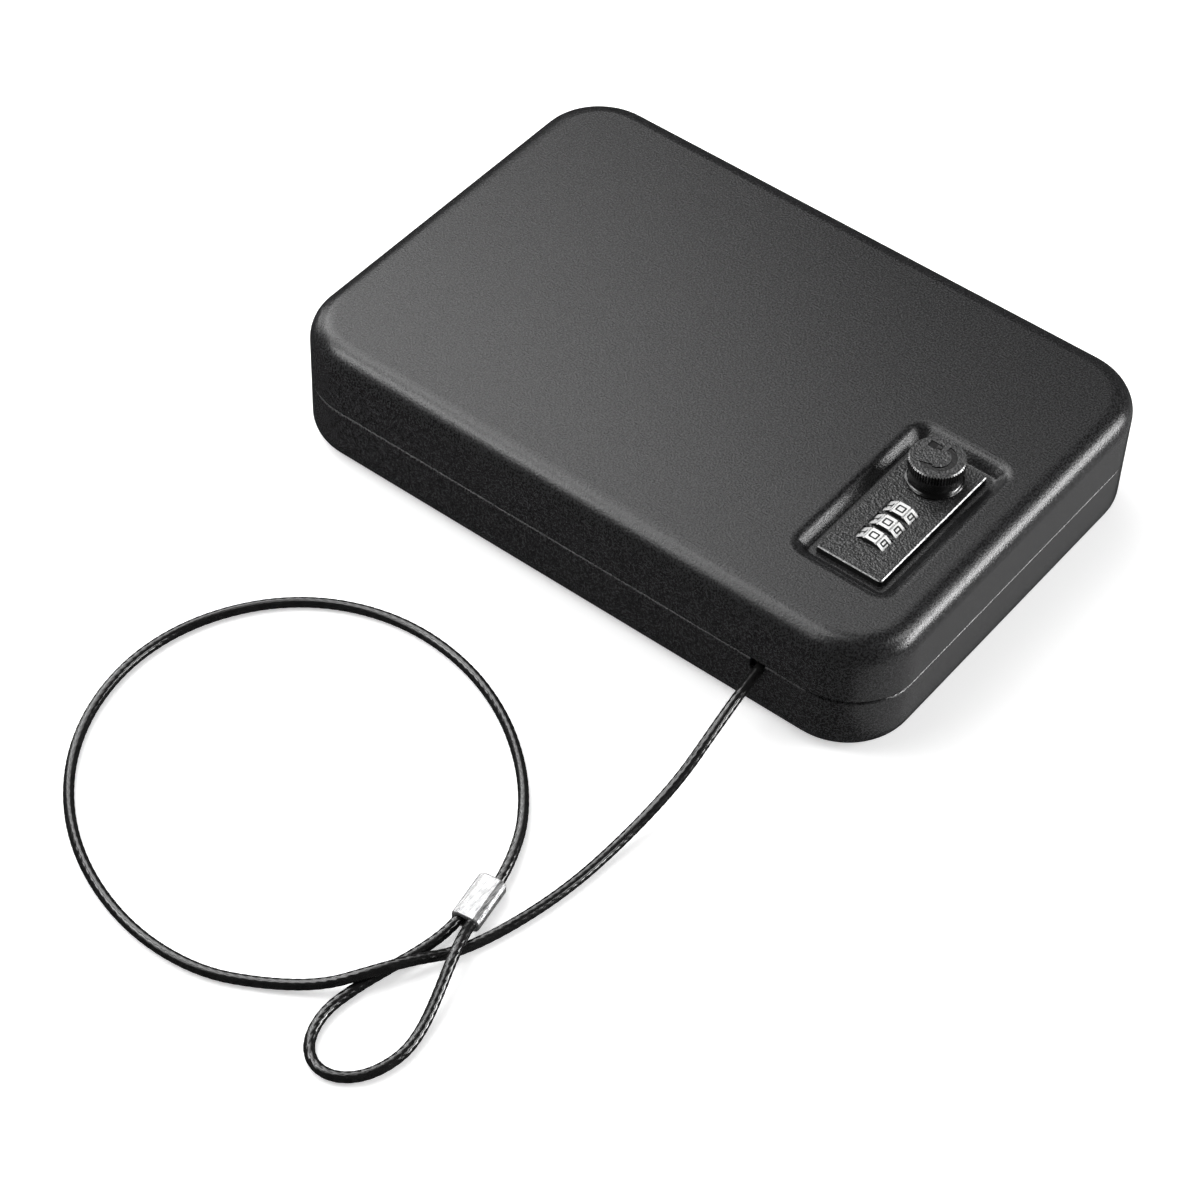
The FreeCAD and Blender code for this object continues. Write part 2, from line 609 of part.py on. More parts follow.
# ---------------------------------------------------------------- knob, about its own axis
b = body("knob")
r_foot, r_neck, r_head = d.knob_foot_radius, d.knob_neck_radius, d.knob_head_radius
z0, z1, z2 = d.knob_foot, d.knob_head_low, d.knob_top
flare = []
for i in range(0, 9):  # hollow flare from the foot's rim up to the neck
    a = math.radians(90.0 * i / 8)
    flare.append((r_neck + (r_foot - 0.25 - r_neck) * (1 - math.sin(a)), z0 + 0.75 + 3.1 * (1 - math.cos(a))))
turned(b, "knob_outline", [
    (d.spindle_radius, z0), (r_foot - 0.2, z0), (r_foot, z0 + 0.25), (r_foot, z0 + 0.5),
] + flare + [
    (r_neck, z1 - 0.25), (r_neck + 0.25, z1), (r_head - 0.3, z1), (r_head, z1 + 0.3), (r_head, z2 - 0.45), (r_head - 0.45, z2),
    (0, z2), (0, z0 + 4.4), (d.spindle_radius, z0 + 4.4),
])
s = sketch(b, "knurl", "XY_Plane", z1 - 0.2)
poly(s, [(r_head - d.knurl_depth, 0), (r_head + 0.25, -0.52), (r_head + 0.25, 0.52)])
f = pocket(b, s, z2 - z1 + 0.4, along=True)
ring_of(b, f, "Z_Axis", d.knurl_count)


def polar(r, a):
    return V(r * math.cos(math.radians(a)), r * math.sin(math.radians(a)), 0)


# a sunk arrow that runs clockwise round the top, and a small sunk padlock between its ends
s = sketch(b, "turn_arrow", "XY_Plane", z2)
wide, slim = 6.4, 4.4
corners = [polar(slim, -8), polar(wide, -8), polar(wide, -189), polar(wide, 142), polar(3.5, 190), polar(slim, 190)]
ring = Part.Circle(V(0, 0, 0), V(0, 0, 1), wide)
hole = Part.Circle(V(0, 0, 0), V(0, 0, 1), slim)
g = [
    s.addGeometry(Part.LineSegment(corners[0], corners[1]), False),
    s.addGeometry(Part.ArcOfCircle(ring, math.radians(171), math.radians(352)), False),
    s.addGeometry(Part.LineSegment(corners[2], corners[3]), False),
    s.addGeometry(Part.LineSegment(corners[3], corners[4]), False),
    s.addGeometry(Part.LineSegment(corners[4], corners[5]), False),
    s.addGeometry(Part.ArcOfCircle(hole, math.radians(190), math.radians(352)), False),
]
for a, p, c, q in ((g[0], 2, g[1], 2), (g[1], 1, g[2], 1), (g[2], 2, g[3], 1), (g[3], 2, g[4], 1), (g[4], 2, g[5], 1), (g[5], 2, g[0], 1)):
    s.addConstraint(Sketcher.Constraint("Coincident", a, p, c, q))
f = pocket(b, s, d.mark_depth)
s = sketch(b, "padlock_mark", "XY_Plane", z2)
box2(s, 2.3, 5.2, 2.75, 5.65)
pocket(b, s, d.mark_depth)
s = sketch(b, "padlock_bow", "XY_Plane", z2)
poly(s, [(2.9, 2.85), (2.9, 1.6), (3.55, 0.8), (4.55, 0.8), (5.2, 1.6), (5.2, 2.85), (4.68, 2.85), (4.68, 1.75), (4.35, 1.32), (3.75, 1.32), (3.42, 1.75), (3.42, 2.85)])
pocket(b, s, d.mark_depth)
place(b, d.knob_along, d.knob_across, 0)

b = body("knob_spindle")
turned(b, "spindle_outline", [
    (0, z0 + 4.3), (d.spindle_radius, z0 + 4.3), (d.spindle_radius, d.cam_low + d.cam_gauge + 0.1),
    (d.thread_radius, d.cam_low + d.cam_gauge + 0.1), (d.thread_radius, 22.9), (d.thread_radius - 0.4, 22.5), (0, 22.5),
])
s = sketch(b, "pin_notch", "YZ_Plane", -d.spindle_radius - 1)
circle(s, 0, 36, 1.4)
pocket(b, s, 2.6, along=True)
place(b, d.knob_along, d.knob_across, 0)

b = body("latch_cam")
s = sketch(b, "cam_plan", "XY_Plane", d.cam_low)
circle(s, 0, 0, 7.5)
pad(b, s, d.cam_gauge)
s = sketch(b, "cam_arm", "XY_Plane", d.cam_low)
poly(s, [(0, -6), (d.cam_reach - 4, -4), (d.cam_reach - 1.2, -4), (d.cam_reach, -2.8), (d.cam_reach, 2.8), (d.cam_reach - 1.2, 4), (d.cam_reach - 4, 4), (0, 6)])
pad(b, s, d.cam_gauge)
s = sketch(b, "cam_eye", "XY_Plane", d.cam_low - 1)
circle(s, 0, 0, d.thread_radius + 0.03)
pocket(b, s, d.cam_gauge + 2, along=True)
place(b, d.knob_along, d.knob_across, 0)

b = body("cam_washer")
s = sketch(b, "washer_plan", "XY_Plane", d.cam_low - 0.8)
circle(s, 0, 0, 5.5)
circle(s, 0, 0, d.thread_radius + 0.05)
pad(b, s, 0.8)
place(b, d.knob_along, d.knob_across, 0)

b = body("cam_nut")
s = sketch(b, "nut_plan", "XY_Plane", d.cam_low - 3.2)
poly(s, [(9.0 / math.sqrt(3) * math.cos(math.radians(60 * i + 30)), 9.0 / math.sqrt(3) * math.sin(math.radians(60 * i + 30))) for i in range(6)])
circle(s, 0, 0, d.thread_radius + 0.02)
f = pad(b, s, 2.4)
place(b, d.knob_along, d.knob_across, 0)

# ---------------------------------------------------------------- dials, each about its own axis
for n in range(3):
    along = d.dial_first + n * d.dial_pitch
    b = body("dial_wheel_%d" % (n + 1))
    s = sketch(b, "wheel_face", "YZ_Plane", -(d.dial_wide / 2))
    out = d.dial_flat * (1 / math.cos(math.radians(18)))
    poly(s, [(out * math.sin(math.radians(36 * i + 18)), out * math.cos(math.radians(36 * i + 18))) for i in range(10)])
    circle(s, 0, 0, d.sleeve_radius + 0.05)
    f = pad(b, s, d.dial_wide)
    # a groove along each corner, between one number's flat and the next
    s = sketch(b, "wheel_groove", "YZ_Plane", -(d.dial_wide / 2) - 0.5)
    c, sn = math.cos(math.radians(18)), math.sin(math.radians(18))
    deep, across = out - 0.55, 0.33

    def corner(r, w):
        return (r * sn + w * c, r * c - w * sn)

    poly(s, [corner(out + 0.4, -across), corner(out + 0.4, across), corner(deep, across), corner(deep, -across)])
    f = pocket(b, s, d.dial_wide + 1, along=True)
    ring_of(b, f, "X_Axis", 10)
    place(b, along, d.dial_across, d.dial_height)
for n in range(3):
    along = d.dial_first + n * d.dial_pitch
    b = body("code_sleeve_%d" % (n + 1))
    s = sketch(b, "sleeve_face", "YZ_Plane", -(d.dial_wide / 2) + 0.1)
    circle(s, 0, 0, d.sleeve_radius)
    circle(s, 0, 0, d.axle_radius + d.axle_fit)
    pad(b, s, d.dial_wide - 0.2)
    s = sketch(b, "sleeve_gate", "YZ_Plane", d.dial_wide / 2 - 0.1)
    box2(s, -0.9, 0.9, -(d.sleeve_radius + 1), -2.6)
    pocket(b, s, 1.6)
    place(b, along, d.dial_across, d.dial_height)

# ---------------------------------------------------------------- slider that frees the code
b = body("code_reset_slider")
low = d.body_bottom - d.cover_gauge
s = sketch(b, "slider_head", "XY_Plane", low - 1.8)
rounded(s, -33.4, -26.0, -82.0, -76.6, 0.8)
f = pad(b, s, 1.5)
s = sketch(b, "slider_stem", "XY_Plane", low - 0.5)
box2(s, -31.7, -27.7, -80.3, -78.3)
pad(b, s, d.cover_gauge + 0.2)
s = sketch(b, "slider_grip", "XZ_Plane", 82.5)
poly(s, [(-32.2, low - 1.9), (-31.4, low - 1.9), (-31.4, low - 1.4), (-32.2, low - 1.4)])
f = pocket(b, s, 8)
row_of(b, f, "X_Axis", 4, 4.5)

# ---------------------------------------------------------------- cable
# One length of coated wire rope: from its stop inside the base, out through the notch, down to the
# surface, round one wide turn, through the crimped sleeve, round the eye and back into the sleeve.
ROUTE = [
    (-76.5, -77.7, 20.4), (-91.5, -79.2, 20.1), (-108.9, -80.7, 16.6), (-127.7, -81.3, 9.4), (-151.1, -79.1, 2.6), (-176.2, -77.4, 1.7),
    (-199.5, -72.6, 1.7), (-216.6, -66.3, 1.7), (-228.0, -59.9, 5.0), (-240.4, -53.0, 5.9), (-251.2, -44.2, 3.0), (-261.5, -29.2, 1.7),
    (-270.1, -11.7, 1.7), (-271.7, 11.8, 1.7), (-265.7, 35.4, 1.7), (-253.9, 56.1, 1.7), (-236.3, 72.9, 1.7), (-214.9, 83.5, 1.7),
    (-191.1, 87.1, 1.7), (-167.7, 82.4, 1.7), (-146.6, 69.7, 1.7), (-132.1, 51.2, 1.7), (-125.1, 28.2, 1.7), (-126.7, 3.7, 1.7),
    (-135.2, -18.6, 1.7), (-148.9, -37.3, 1.7), (-164.7, -50.6, 2.0), (-179.4, -57.6, 2.9), (-192.8, -61.3, 3.2), (-204.8, -63.3, 3.5),
    (-214.4, -66.4, 5.9), (-223.7, -69.8, 6.3), (-233.8, -73.4, 4.2), (-244.6, -76.6, 2.0), (-255.1, -77.9, 1.7), (-266.5, -74.6, 1.7),
    (-273.1, -67.7, 1.7), (-273.7, -59.7, 1.7), (-268.3, -53.1, 1.7), (-257.4, -49.9, 1.7), (-246.1, -51.4, 1.7), (-234.4, -54.3, 1.7),
    (-223.4, -57.6, 1.9), (-213.1, -59.8, 2.8), (-203.2, -59.3, 3.2), (-193.2, -57.4, 3.2),
]


def tube(route, radius):
    """A round tube along straight runs that are joined by tangent arcs, each as large as its two runs allow."""
    pts = [V(*p) for p in route]
    path, here, radii = [], pts[0], []
    for i in range(1, len(pts) - 1):
        back, on = pts[i - 1] - pts[i], pts[i + 1] - pts[i]
        turn = math.pi - back.getAngle(on)
        reach = 0.45 * min(back.Length, on.Length)
        back.normalize()
        on.normalize()
        r = reach / math.tan(turn / 2)
        radii.append(r)
        first, last = pts[i] + back * reach, pts[i] + on * reach
        middle = (back + on).normalize()
        centre = pts[i] + middle * (r / math.cos(turn / 2))
        top = centre - middle * r
        path.append(Part.LineSegment(here, first).toShape())
        path.append(Part.Arc(first, top, last).toShape())
        here = last
    path.append(Part.LineSegment(here, pts[-1]).toShape())
    spine = Part.Wire(path)
    section = Part.Wire([Part.Circle(pts[0], pts[1] - pts[0], radius).toShape()])
    pipe = spine.makePipeShell([section], True, False)
    want = math.pi * radius**2 * spine.Length
    print("cable: length %.1f, radii %s" % (spine.Length, " ".join("%.0f" % r for r in radii)))
    print("cable: volume %.1f, section times length %.1f" % (pipe.Volume, want))
    if abs(pipe.Volume / want - 1) > 0.01:
        raise RuntimeError("the cable's volume is wrong")
    return pipe


c = doc.addObject("Part::Feature", "cable")
c.Label = "cable"
c.Shape = tube(ROUTE, sheet.get("cable_size") / 2)
made.append(c)

b = body("cable_end_stop")
s = sketch(b, "stop_round", "YZ_Plane", -80.0)
circle(s, d.notch_across, d.cable_height, d.stop_size / 2)
f = pad(b, s, d.stop_long)
f = fillet(b, f, edges(f, lambda e: e.BoundBox.XLength < 1e-6), 0.8)
s = sketch(b, "stop_bore", "YZ_Plane", -81.0)
circle(s, d.notch_across, d.cable_height, d.cable_size / 2 + 0.15)
pocket(b, s, 5.0, along=True)

b = body("cable_ferrule")
s = sketch(b, "sleeve_face", "YZ_Plane", -(d.sleeve_long / 2))
w, h = d.sleeve_wide / 2, d.sleeve_high / 2
poly(s, [
    (-w, h * -0.42), (w * -0.86, h * -0.78), (w * -0.56, -h), (w * 0.56, -h), (w * 0.86, h * -0.78), (w, h * -0.42),
    (w, h * 0.42), (w * 0.86, h * 0.78), (w * 0.56, h), (w * -0.56, h), (w * -0.86, h * 0.78), (-w, h * 0.42),
])
f = pad(b, s, d.sleeve_long)
f = fillet(b, f, edges(f, lambda e: e.BoundBox.XLength < 1e-6), 0.7)
s = sketch(b, "sleeve_bores", "YZ_Plane", -(d.sleeve_long / 2) - 1)
circle(s, d.sleeve_spread, 0, d.sleeve_bore)
circle(s, -d.sleeve_spread, 0, d.sleeve_bore)
pocket(b, s, d.sleeve_long + 2, along=True)
s = sketch(b, "sleeve_mouth", "YZ_Plane", d.sleeve_long / 2 - 2.2)  # oval mouth where both strands of the eye leave
mw, mh = d.sleeve_spread + d.sleeve_bore + 0.08, d.sleeve_bore + 0.15
rounded(s, -mw, mw, -mh, mh, mh - 0.05)
pocket(b, s, 3, along=True)
place(b, -198.5, -60.35, h, V(0, 0, 1), -170.5)

# ---------------------------------------------------------------- check and write
doc.recompute()
for o in doc.Objects:
    if "Invalid" in o.State or "Error" in o.State:
        raise RuntimeError("%s failed: %s" % (o.Label, o.State))
for o in made:
    if o.Shape.isNull() or not o.Shape.isValid():
        raise RuntimeError("%s has no valid shape" % o.Label)
    wanted = {"lock_back_screws": 4, "lock_mount_screws": 2}.get(o.Label, 1)
    if len(o.Shape.Solids) != wanted:
        raise RuntimeError("%s has %d solids" % (o.Label, len(o.Shape.Solids)))
os.makedirs("parts", exist_ok=True)
for o in made:
    o.Shape.exportStep("parts/%s.step" % o.Label)
    q = o.Shape.BoundBox
    print("%-20s %9.1f mm3  x %.2f..%.2f  y %.2f..%.2f  z %.2f..%.2f" % (o.Label, o.Shape.Volume, q.XMin, q.XMax, q.YMin, q.YMax, q.ZMin, q.ZMax))
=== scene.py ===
import json
import math

import bmesh
import bpy
from mathutils import Matrix, Vector


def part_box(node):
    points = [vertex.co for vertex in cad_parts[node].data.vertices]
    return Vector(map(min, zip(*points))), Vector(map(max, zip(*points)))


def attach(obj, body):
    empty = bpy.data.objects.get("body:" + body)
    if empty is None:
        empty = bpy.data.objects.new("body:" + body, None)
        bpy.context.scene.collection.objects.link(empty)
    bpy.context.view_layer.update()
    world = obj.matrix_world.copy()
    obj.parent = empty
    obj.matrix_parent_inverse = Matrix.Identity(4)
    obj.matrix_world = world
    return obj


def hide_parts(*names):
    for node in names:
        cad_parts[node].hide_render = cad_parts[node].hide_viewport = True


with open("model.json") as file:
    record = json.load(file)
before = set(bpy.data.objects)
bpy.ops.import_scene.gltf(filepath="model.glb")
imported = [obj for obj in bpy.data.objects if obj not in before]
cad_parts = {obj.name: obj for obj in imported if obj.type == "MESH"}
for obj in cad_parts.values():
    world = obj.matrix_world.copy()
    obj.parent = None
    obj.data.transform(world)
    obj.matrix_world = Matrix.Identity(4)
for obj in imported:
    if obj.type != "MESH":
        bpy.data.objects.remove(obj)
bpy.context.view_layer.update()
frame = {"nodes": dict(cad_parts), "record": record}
nodes = frame["nodes"]
scene = bpy.context.scene
MM = 0.001


def link(o):
    scene.collection.objects.link(o)
    return o


# ---------------------------------------------------------------- camera
def make_camera():
    a, e, r = math.radians(-54.08), math.radians(47.81), math.radians(2.79)
    back = Vector((math.sin(a) * math.cos(e), -math.cos(a) * math.cos(e), math.sin(e)))
    right = Vector((math.cos(a), math.sin(a), 0))
    up = back.cross(right)
    right, up = math.cos(r) * right + math.sin(r) * up, -math.sin(r) * right + math.cos(r) * up
    place = Vector((-91.18, -21.96, 20.0)) * MM + back * 1.10349
    data = bpy.data.cameras.new("camera")
    data.sensor_width = 36
    data.lens = 104.14
    data.clip_start, data.clip_end = 0.01, 50
    cam = link(bpy.data.objects.new("camera", data))
    m = Matrix.Identity(4)
    for i, v in enumerate((right, up, back, place)):
        for j in range(3):
            m[j][i] = v[j]
    cam.matrix_world = m
    scene.camera = cam


make_camera()

# ---------------------------------------------------------------- tether cable
ROUTE = [
    (-76.5, -77.7, 20.4), (-91.5, -79.2, 20.1), (-108.9, -80.7, 16.6), (-127.7, -81.3, 9.4), (-151.1, -79.1, 2.6),
    (-176.2, -77.4, 1.7), (-199.5, -72.6, 1.7), (-216.6, -66.3, 1.7), (-228.0, -59.9, 5.0), (-240.4, -53.0, 5.9),
    (-251.2, -44.2, 3.0), (-261.5, -29.2, 1.7), (-270.1, -11.7, 1.7), (-271.7, 11.8, 1.7), (-265.7, 35.4, 1.7),
    (-253.9, 56.1, 1.7), (-236.3, 72.9, 1.7), (-214.9, 83.5, 1.7), (-191.1, 87.1, 1.7), (-167.7, 82.4, 1.7),
    (-146.6, 69.7, 1.7), (-132.1, 51.2, 1.7), (-125.1, 28.2, 1.7), (-126.7, 3.7, 1.7), (-135.2, -18.6, 1.7),
    (-148.9, -37.3, 1.7), (-164.7, -50.6, 2.0), (-179.4, -57.6, 2.9), (-192.8, -61.3, 3.2), (-204.8, -63.3, 3.5),
    (-214.4, -66.4, 5.9), (-223.7, -69.8, 6.3), (-233.8, -73.4, 4.2), (-244.6, -76.6, 2.0), (-255.1, -77.9, 1.7),
    (-266.5, -74.6, 1.7), (-273.1, -67.7, 1.7), (-273.7, -59.7, 1.7), (-268.3, -53.1, 1.7), (-257.4, -49.9, 1.7),
    (-246.1, -51.4, 1.7), (-234.4, -54.3, 1.7), (-223.4, -57.6, 1.9), (-213.1, -59.8, 2.8), (-203.2, -59.3, 3.2),
    (-193.2, -57.4, 3.2),
]
CABLE = 3.4 * MM


def cable_line():
    """The points of the smooth line through the route."""
    data = bpy.data.curves.new("cable_line", "CURVE")
    data.dimensions = "3D"
    data.resolution_u = 28
    line = data.splines.new("NURBS")
    line.points.add(len(ROUTE) - 1)
    for p, q in zip(line.points, ROUTE):
        p.co = (q[0] * MM, q[1] * MM, q[2] * MM, 1)
    line.order_u = 3
    line.use_endpoint_u = True
    guide = link(bpy.data.objects.new("cable_line", data))
    bpy.context.view_layer.update()
    mesh = bpy.data.meshes.new_from_object(guide)
    points = [v.co.copy() for v in mesh.vertices]
    bpy.data.meshes.remove(mesh)
    bpy.data.objects.remove(guide)
    bpy.data.curves.remove(data)
    return points


def make_cable():
    """A jacket drawn tight over six strands, which show through it as shallow turns."""
    points = cable_line()
    strands, lay, around = 6, 19.0 * MM, 36
    radius, dip = 1.045 * CABLE / 2, 0.075 * MM
    bm = bmesh.new()
    side, travel, last, rings = None, 0.0, None, []
    for i, p in enumerate(points):
        t = (points[min(i + 1, len(points) - 1)] - points[max(i - 1, 0)]).normalized()
        side = (Vector((0, 0, 1)) if side is None else side)
        side = (side - t * side.dot(t)).normalized()
        other = t.cross(side)
        travel += 0 if last is None else (p - last).length
        last = p
        ring = []
        for k in range(around):
            a = 2 * math.pi * k / around
            wave = math.cos(strands * (a - 2 * math.pi * travel / lay))
            r = radius - dip * (0.5 - 0.5 * wave) ** 1.5
            ring.append(bm.verts.new(p + (side * math.cos(a) + other * math.sin(a)) * r))
        rings.append(ring)
    for one, two in zip(rings, rings[1:]):
        for k in range(around):
            n = (k + 1) % around
            bm.faces.new((one[k], one[n], two[n], two[k])).smooth = True
    bm.faces.new(list(reversed(rings[0])))
    bm.faces.new(rings[-1])
    bmesh.ops.recalc_face_normals(bm, faces=bm.faces)
    mesh = bpy.data.meshes.new("tether_cable")
    bm.to_mesh(mesh)
    bm.free()
    return link(bpy.data.objects.new("tether_cable", mesh)), points


cable, cable_points = make_cable()


# ---------------------------------------------------------------- materials
class Nodes:
    """A material's nodes, added by short calls."""

    def __init__(self, name, colour, rough, metal=0.0, **sockets):
        self.m = bpy.data.materials.new(name)
        self.m.use_nodes = True
        self.t = self.m.node_tree
        self.b = self.t.nodes["Principled BSDF"]
        self.b.inputs["Base Color"].default_value = (*colour, 1)
        self.b.inputs["Roughness"].default_value = rough
        self.b.inputs["Metallic"].default_value = metal
        for k, v in sockets.items():
            self.b.inputs[k.replace("_", " ")].default_value = v
        self.at = self.new("ShaderNodeTexCoord").outputs["Object"]

    def new(self, kind, **values):
        n = self.t.nodes.new(kind)
        for k, v in values.items():
            if hasattr(n, k):
                setattr(n, k, v)
            else:
                n.inputs[k.replace("_", " ")].default_value = v
        return n

    def join(self, a, b):
        self.t.links.new(a, b)

    def place(self, scale=(1, 1, 1), turn=(0, 0, 0)):
        n = self.new("ShaderNodeMapping")
        n.inputs["Scale"].default_value = scale
        n.inputs["Rotation"].default_value = turn
        self.join(self.at, n.inputs["Vector"])
        return n.outputs["Vector"]

    def noise(self, scale, detail=2.0, rough=0.5, at=None, distortion=0.0):
        n = self.new("ShaderNodeTexNoise", Scale=scale, Detail=detail, Roughness=rough, Distortion=distortion)
        self.join(at or self.at, n.inputs["Vector"])
        return n.outputs["Fac"]

    def cells(self, scale, feature="SMOOTH_F1", smooth=0.6, at=None):
        n = self.new("ShaderNodeTexVoronoi", feature=feature, Scale=scale)
        if feature == "SMOOTH_F1":
            n.inputs["Smoothness"].default_value = smooth
        self.join(at or self.at, n.inputs["Vector"])
        return n.outputs["Distance"]

    def math(self, kind, a, b):
        n = self.new("ShaderNodeMath", operation=kind)
        for i, x in enumerate((a, b)):
            if isinstance(x, (int, float)):
                n.inputs[i].default_value = x
            else:
                self.join(x, n.inputs[i])
        return n.outputs[0]

    def spread(self, x, low, high, low_in=0.3, high_in=0.7):
        n = self.new("ShaderNodeMapRange")
        for k, v in (("From Min", low_in), ("From Max", high_in), ("To Min", low), ("To Max", high)):
            n.inputs[k].default_value = v
        self.join(x, n.inputs["Value"])
        return n.outputs["Result"]

    def colours(self, x, *stops):
        n = self.new("ShaderNodeValToRGB")
        r = n.color_ramp
        while len(r.elements) < len(stops):
            r.elements.new(0.5)
        for e, (at, c) in zip(r.elements, stops):
            e.position = at
            e.color = (*c, 1)
        self.join(x, n.inputs["Fac"])
        self.join(n.outputs["Color"], self.b.inputs["Base Color"])

    def rough(self, x, low, high, **k):
        self.join(self.spread(x, low, high, **k), self.b.inputs["Roughness"])

    def bump(self, x, strength, depth):
        n = self.new("ShaderNodeBump")
        n.inputs["Strength"].default_value = strength
        n.inputs["Distance"].default_value = depth
        self.join(x, n.inputs["Height"])
        self.join(n.outputs["Normal"], self.b.inputs["Normal"])


def powder_coat():
    """A fine even grain, with painted shade: its pits are painted darker than its crests."""
    n = Nodes("powder_coat_black", (0.018, 0.018, 0.019), 0.25)
    grain = n.noise(1500, 1.5, 0.5)
    fine = n.noise(3000, 2, 0.6)
    wide = n.noise(14, 2, 0.5)
    # painted shade: the base colour follows the grain's height, darker in the pits
    n.colours(grain, (0.36, (0.008, 0.008, 0.0082)), (0.64, (0.028, 0.028, 0.029)))
    n.rough(n.math("ADD", n.math("MULTIPLY", fine, 0.8), n.math("MULTIPLY", wide, 0.2)), 0.2, 0.28)
    n.bump(n.math("ADD", grain, n.math("MULTIPLY", fine, 0.3)), 0.7, 0.00012)
    return n.m


def cast_grain(n):
    """The pebbled skin of the lock's castings."""
    grain = n.noise(1600, 2, 0.55)
    return n.math("ADD", n.math("MULTIPLY", grain, 0.6), n.math("MULTIPLY", n.cells(1350, smooth=0.5), 0.45))


def cast_black():
    n = Nodes("lock_cast_black", (0.014, 0.014, 0.015), 0.34, Specular_IOR_Level=0.75)
    grain = cast_grain(n)
    n.colours(grain, (0.44, (0.002, 0.002, 0.002)), (0.62, (0.042, 0.042, 0.043)))
    n.rough(grain, 0.38, 0.26, low_in=0.35, high_in=0.6)
    n.bump(grain, 0.9, 0.0007)
    return n.m


def worn_edge():
    """The plate's bevel, where the black has rubbed thin."""
    n = Nodes("lock_worn_edge", (0.2, 0.2, 0.2), 0.3, 0.8)
    rub = n.noise(900, 3, 0.6)
    n.colours(rub, (0.3, (0.12, 0.12, 0.12)), (0.66, (0.45, 0.45, 0.45)))
    n.rough(rub, 0.36, 0.24)
    n.bump(n.noise(2200, 2), 0.2, 0.0001)
    return n.m


def painted_shade_black():
    """Painted shade: a darker, duller black for the plate's flanks and the depths of the knob's marks, where shade
    falls.
    """
    n = Nodes("lock_painted_shade_black", (0.007, 0.007, 0.007), 0.5, Specular_IOR_Level=0.3)
    n.colours(n.noise(700, 2), (0.3, (0.005, 0.005, 0.005)), (0.7, (0.009, 0.009, 0.009)))
    n.rough(n.noise(1500, 2), 0.42, 0.58)
    n.bump(n.noise(2400, 2), 0.2, 0.00006)
    return n.m


def knob_black():
    """Grained on the top face; smoother and darker on the flank and on the floors of the recessed marks."""
    n = Nodes("knob_black", (0.014, 0.014, 0.015), 0.28, Specular_IOR_Level=0.9)
    grain = cast_grain(n)
    split = n.new("ShaderNodeSeparateXYZ")
    n.join(n.at, split.inputs[0])
    top = n.spread(split.outputs["Z"], 0.05, 1.0, low_in=0.0563, high_in=0.05645)
    skin = n.math("MULTIPLY", grain, top)
    n.colours(skin, (0.43, (0.003, 0.003, 0.003)), (0.62, (0.042, 0.042, 0.043)))
    n.rough(top, 0.2, 0.36, low_in=0.0, high_in=1.0)
    n.bump(skin, 0.9, 0.0007)
    return n.m


def dial_plate():
    """Satin plating with faint lathe marks round the wheel."""
    n = Nodes("dial_plated", (0.9, 0.9, 0.9), 0.26, 0.4)
    lathe = n.noise(1, 3, 0.6, n.place((5200, 260, 260)))
    cloud = n.noise(420, 3, 0.6)
    n.colours(cloud, (0.3, (0.9, 0.9, 0.9)), (0.7, (0.97, 0.97, 0.96)))
    n.rough(n.math("ADD", n.math("MULTIPLY", lathe, 0.5), n.math("MULTIPLY", cloud, 0.5)), 0.2, 0.32)
    n.bump(lathe, 0.1, 0.00002)
    return n.m


def dial_dark():
    n = Nodes("dial_side", (0.02, 0.02, 0.02), 0.4)
    n.colours(n.noise(600, 2), (0.3, (0.016, 0.016, 0.016)), (0.7, (0.026, 0.026, 0.026)))
    n.rough(n.noise(1200, 2), 0.34, 0.48)
    return n.m


def ink():
    n = Nodes("numeral_ink", (0.008, 0.008, 0.008), 0.45)
    n.colours(n.noise(1500, 2), (0.3, (0.006, 0.006, 0.006)), (0.7, (0.012, 0.012, 0.012)))
    n.rough(n.noise(2500, 2), 0.38, 0.55)
    return n.m


def steel():
    n = Nodes("plated_steel", (0.62, 0.62, 0.61), 0.34, 1.0)
    cloud = n.noise(90, 4, 0.6)
    brush = n.noise(1, 3, 0.6, n.place((2600, 160, 2600)))
    n.colours(cloud, (0.3, (0.3, 0.302, 0.305)), (0.7, (0.43, 0.427, 0.42)))
    n.rough(n.math("ADD", n.math("MULTIPLY", cloud, 0.5), n.math("MULTIPLY", brush, 0.5)), 0.42, 0.6)
    n.bump(brush, 0.15, 0.00004)
    return n.m


def brass():
    n = Nodes("brass", (0.72, 0.5, 0.2), 0.3, 1.0)
    cloud = n.noise(260, 3, 0.6)
    n.colours(cloud, (0.3, (0.62, 0.42, 0.16)), (0.7, (0.78, 0.57, 0.26)))
    n.rough(cloud, 0.22, 0.4)
    return n.m


def slider_plastic():
    n = Nodes("slider_plastic", (0.5, 0.03, 0.02), 0.42)
    n.colours(n.noise(400, 3), (0.3, (0.42, 0.022, 0.016)), (0.7, (0.55, 0.034, 0.024)))
    n.rough(n.noise(1500, 2), 0.34, 0.5)
    n.bump(n.noise(2400, 2), 0.2, 0.00006)
    return n.m


def jacket():
    n = Nodes("cable_jacket", (0.012, 0.012, 0.012), 0.2, Specular_IOR_Level=0.75)
    n.colours(n.noise(350, 3, 0.6), (0.3, (0.007, 0.007, 0.007)), (0.7, (0.014, 0.014, 0.014)))
    n.rough(n.noise(800, 3, 0.6), 0.14, 0.22)
    n.bump(n.noise(1600, 2), 0.1, 0.00005)
    return n.m


